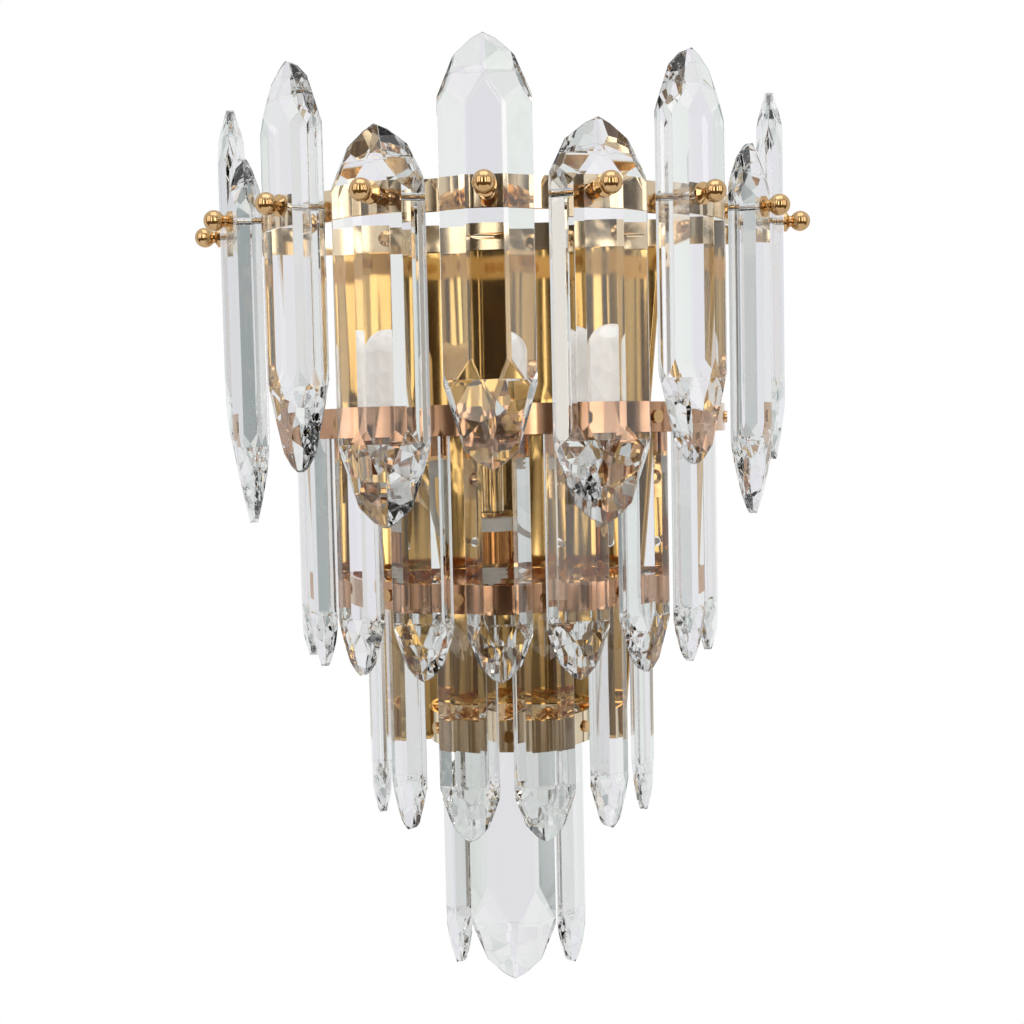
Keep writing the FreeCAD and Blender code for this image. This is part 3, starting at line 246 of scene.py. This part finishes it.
def crystal_glass(node):
    """Lead crystal: clear, sparkling at its cut points. Crystals of one length and height share it."""
    foot, top = (corner[2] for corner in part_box(node))
    where = (round(foot / MM), round(top / MM))
    if where not in crystal_glasses:
        tall = top - foot
        crystal_glasses[where] = cut_glass("cut_lead_crystal_%d" % (len(crystal_glasses) + 1), "#F0F1F1",
                                           ior=1.56, edge_mm=0.5, facet_mm=11.0, lean=0.45,
                                           low_end=foot + FOOT_SHARE * tall, high_end=top - TOP_SHARE * tall)
    return crystal_glasses[where]


FINISHES = {
    "backplate": pan_gold, "crossbar": zinc, "mounting_studs": zinc, "plate_nuts": zinc,
    "ground_screw": green_zinc, "terminal_block": nylon, "lamp_leads": sleeve, "socket_cups": copper_cup,
    "stem_nuts": ceramic, "bulb_contacts": nickel, "tier1_ring": ring_gold, "tier2_ring": ring_rose,
    "tier3_ring": ring_rose, "tier4_ring": ring_gold, "lower_bulb": quartz, "upper_left_bulb": frosted,
    "upper_right_bulb": frosted,
}


def finish_of(node):
    """The node's own finish. Pins, balls, brackets, screws and caps are turned gold."""
    if "_crystal_" in node:
        return crystal_glass(node)
    if node.endswith("_socket"):
        return ceramic
    return FINISHES.get(node, turned_gold)


for name, thing in nodes.items():
    thing.data.materials.clear()
    thing.data.materials.append(finish_of(name))


# ---- stage: floor, world, lights and camera ---------------------------------------------------

FLOOR_HALF, FLOOR_DROP, FLOOR_GREY, FLOOR_LIFT = 1.1, 0.55, "#E6E6E6", 0.75


def make_floor():
    """A matt pale floor well under the object. The lift is for the camera alone, and its shadow stays."""
    mesh = bpy.data.meshes.new("floor")
    height = cad_box[0][2] - FLOOR_DROP
    corners = [(-1, -1), (1, -1), (1, 1), (-1, 1)]
    mesh.from_pydata([(x * FLOOR_HALF, y * FLOOR_HALF, height) for x, y in corners], [], [(0, 1, 2, 3)])
    floor = bpy.data.objects.new("floor", mesh)
    bpy.context.collection.objects.link(floor)
    material, tree = new_material("matt_pale_floor")
    seen = add(tree, "ShaderNodeLightPath")
    matt = add(tree, "ShaderNodeBsdfDiffuse", {"Color": linear(FLOOR_GREY)})
    lift = add(tree, "ShaderNodeEmission", {"Strength": FLOOR_LIFT})
    both = add(tree, "ShaderNodeAddShader", links={0: matt.outputs[0], 1: lift.outputs[0]})
    mix = add(tree, "ShaderNodeMixShader",
              links={0: seen.outputs["Is Camera Ray"], 1: matt.outputs[0], 2: both.outputs[0]})
    add(tree, "ShaderNodeOutputMaterial", links={"Surface": mix.outputs[0]})
    mesh.materials.append(material)


# The room as the object sees it, in degrees round it: 0 is straight behind the object, 90 its two sides and
# 180 straight behind the camera. White stands behind it, and a grey flag at each side draws the edges of the
# glass. In front, bright sheets and dark gaps take turns, which the gold mirrors as upright streaks.
BEHIND = ((0, "#F7F7FA"), (9, "#F3F1F8"), (17, "#FAFAFA"), (28, "#EEF4F1"), (38, "#EEF2F0"),
          (43, "#C4CACA"), (47, "#98A2A4"), (51, "#C4CACA"), (57, "#EEF0F0"), (96, "#E6E6E6"))
IN_FRONT = ((102, "#9A958E"), (108, "#4A453E"), (112, "#F0EAE0"), (120, "#F4EEE4"), (124, "#4A4238"),
            (132, "#4A4238"), (136, "#F6F0E6"), (144, "#FFFAF2"), (147, "#4A4238"), (154, "#4A4238"),
            (157, "#FFF6E8"), (170, "#FFFBF4"), (174, "#4A4238"), (180, "#40382E"))
HALF_TURN = 180
FRONT_BEGINS = (100, 110)
# A ceiling and a shaded floor in front come in by how steeply up or down a ray looks, as its unit Z.
CEILING, CEILING_COMES_IN = "#E8EAEC", (0.45, 0.8)
SHADE, SHADE_COMES_IN = "#6A5A44", (-0.08, -0.26)


def make_world():
    """The room lights and is mirrored; the camera itself sees plain white behind the object."""
    world = bpy.data.worlds.new("studio")
    world.use_nodes = True
    tree = world.node_tree
    tree.nodes.clear()
    place = add(tree, "ShaderNodeTexCoord")
    axes = add(tree, "ShaderNodeSeparateXYZ", links={0: place.outputs["Generated"]})
    azimuth = add(tree, "ShaderNodeMath", {"operation": "ARCTAN2"},
                  {0: axes.outputs["X"], 1: axes.outputs["Y"]})
    either_side = add(tree, "ShaderNodeMath", {"operation": "ABSOLUTE"}, {0: azimuth.outputs[0]})
    share = add(tree, "ShaderNodeMapRange", {"From Max": math.pi}, {"Value": either_side.outputs[0]})
    room = add(tree, "ShaderNodeValToRGB", links={0: share.outputs[0]})
    ramp = room.color_ramp
    stops = BEHIND + IN_FRONT
    while len(ramp.elements) < len(stops):
        ramp.elements.new(0.5)
    for stop, (degrees, colour) in zip(ramp.elements, stops):
        stop.position = degrees / HALF_TURN
        stop.color = linear(colour)
    up = add(tree, "ShaderNodeMapRange", {"From Min": CEILING_COMES_IN[0], "From Max": CEILING_COMES_IN[1]},
             {"Value": axes.outputs["Z"]})
    roofed = add(tree, "ShaderNodeMix", {"data_type": "RGBA", 7: linear(CEILING)},
                 {0: up.outputs[0], 6: room.outputs[0]})
    down = add(tree, "ShaderNodeMapRange", {"From Min": SHADE_COMES_IN[0], "From Max": SHADE_COMES_IN[1]},
               {"Value": axes.outputs["Z"]})
    ahead = add(tree, "ShaderNodeMapRange",
                {"From Min": FRONT_BEGINS[0] / HALF_TURN, "From Max": FRONT_BEGINS[1] / HALF_TURN},
                {"Value": share.outputs[0]})
    down_ahead = add(tree, "ShaderNodeMath", {"operation": "MULTIPLY"},
                     {0: down.outputs[0], 1: ahead.outputs[0]})
    floored = add(tree, "ShaderNodeMix", {"data_type": "RGBA", 7: linear(SHADE)},
                  {0: down_ahead.outputs[0], 6: roofed.outputs[2]})
    seen = add(tree, "ShaderNodeLightPath")
    shown = add(tree, "ShaderNodeMix", {"data_type": "RGBA", 7: linear(WHITE)},
                {0: seen.outputs["Is Camera Ray"], 6: floored.outputs[2]})
    light = add(tree, "ShaderNodeBackground", links={"Color": shown.outputs[2]})
    add(tree, "ShaderNodeOutputWorld", links={"Surface": light.outputs[0]})
    bpy.context.scene.world = world


# Each lamp's name, place, width and height in metres, watts, colour and whether glass shows it. The soft
# boxes aren't seen through the crystals, whose side faces they would fill with white. The strips are: they
# are the cream highlights of the rings.
WARM_WHITE = "#FFF6E6"
LAMPS = (
    ("left_softbox", (-1.7, -1.5, 0.7), 1.4, 1.8, 8, WHITE, False),
    ("right_softbox", (1.7, -1.6, 0.5), 1.2, 1.8, 7, WHITE, False),
    ("left_strip", (-0.55, -2.2, 0.35), 0.4, 1.5, 4.0, WARM_WHITE, True),
    ("right_strip", (0.75, -2.2, 0.35), 0.4, 1.5, 4.0, WARM_WHITE, True),
    ("top_softbox", (0.0, -0.5, 1.7), 1.6, 1.2, 7, WHITE, False),
)
LAMPS_AIM = Vector((0, -0.06, -0.06))


def area_light(name, place, wide, tall, watts, colour, through_glass):
    light = bpy.data.lights.new(name, "AREA")
    light.shape = "RECTANGLE"
    light.size, light.size_y = wide, tall
    light.energy = watts
    light.color = linear(colour)[:3]
    thing = bpy.data.objects.new(name, light)
    thing.location = place
    thing.visible_transmission = through_glass
    thing.rotation_euler = (LAMPS_AIM - Vector(place)).to_track_quat("-Z", "Y").to_euler()
    bpy.context.collection.objects.link(thing)


# The camera stands a little right of the object's middle and above it, and looks slightly down and left.
EYE = Vector((30 * MM, -679 * MM, -33 * MM))
PITCH, YAW, ROLL = math.radians(3.24), math.radians(2.45), math.radians(1.23)
FOCAL_PX, FRAME_PX, SENSOR_MM, NEAREST = 1324, 1024, 36, 0.01


def make_camera():
    ahead = Vector((-math.sin(YAW) * math.cos(PITCH), math.cos(YAW) * math.cos(PITCH), -math.sin(PITCH)))
    up = (Vector((0, 0, 1)) - ahead * ahead.z).normalized()
    leaning = up * math.cos(ROLL) + ahead.cross(up) * math.sin(ROLL)
    side = ahead.cross(leaning)
    lens = bpy.data.cameras.new("camera")
    lens.sensor_width = SENSOR_MM
    lens.lens = SENSOR_MM * FOCAL_PX / FRAME_PX
    lens.clip_start = NEAREST
    camera = bpy.data.objects.new("camera", lens)
    camera.matrix_world = Matrix.Translation(EYE) @ Matrix((side, leaning, -ahead)).transposed().to_4x4()
    bpy.context.collection.objects.link(camera)
    bpy.context.scene.camera = camera


make_floor()
make_world()
for lamp in LAMPS:
    area_light(*lamp)
make_camera()
scene = bpy.context.scene
scene.view_settings.view_transform = "Standard"
# Light has to pass several crystals, each with two or more faces, before it reaches the gold and comes back.
scene.cycles.max_bounces = 24
scene.cycles.transmission_bounces = 24
scene.cycles.glossy_bounces = 8
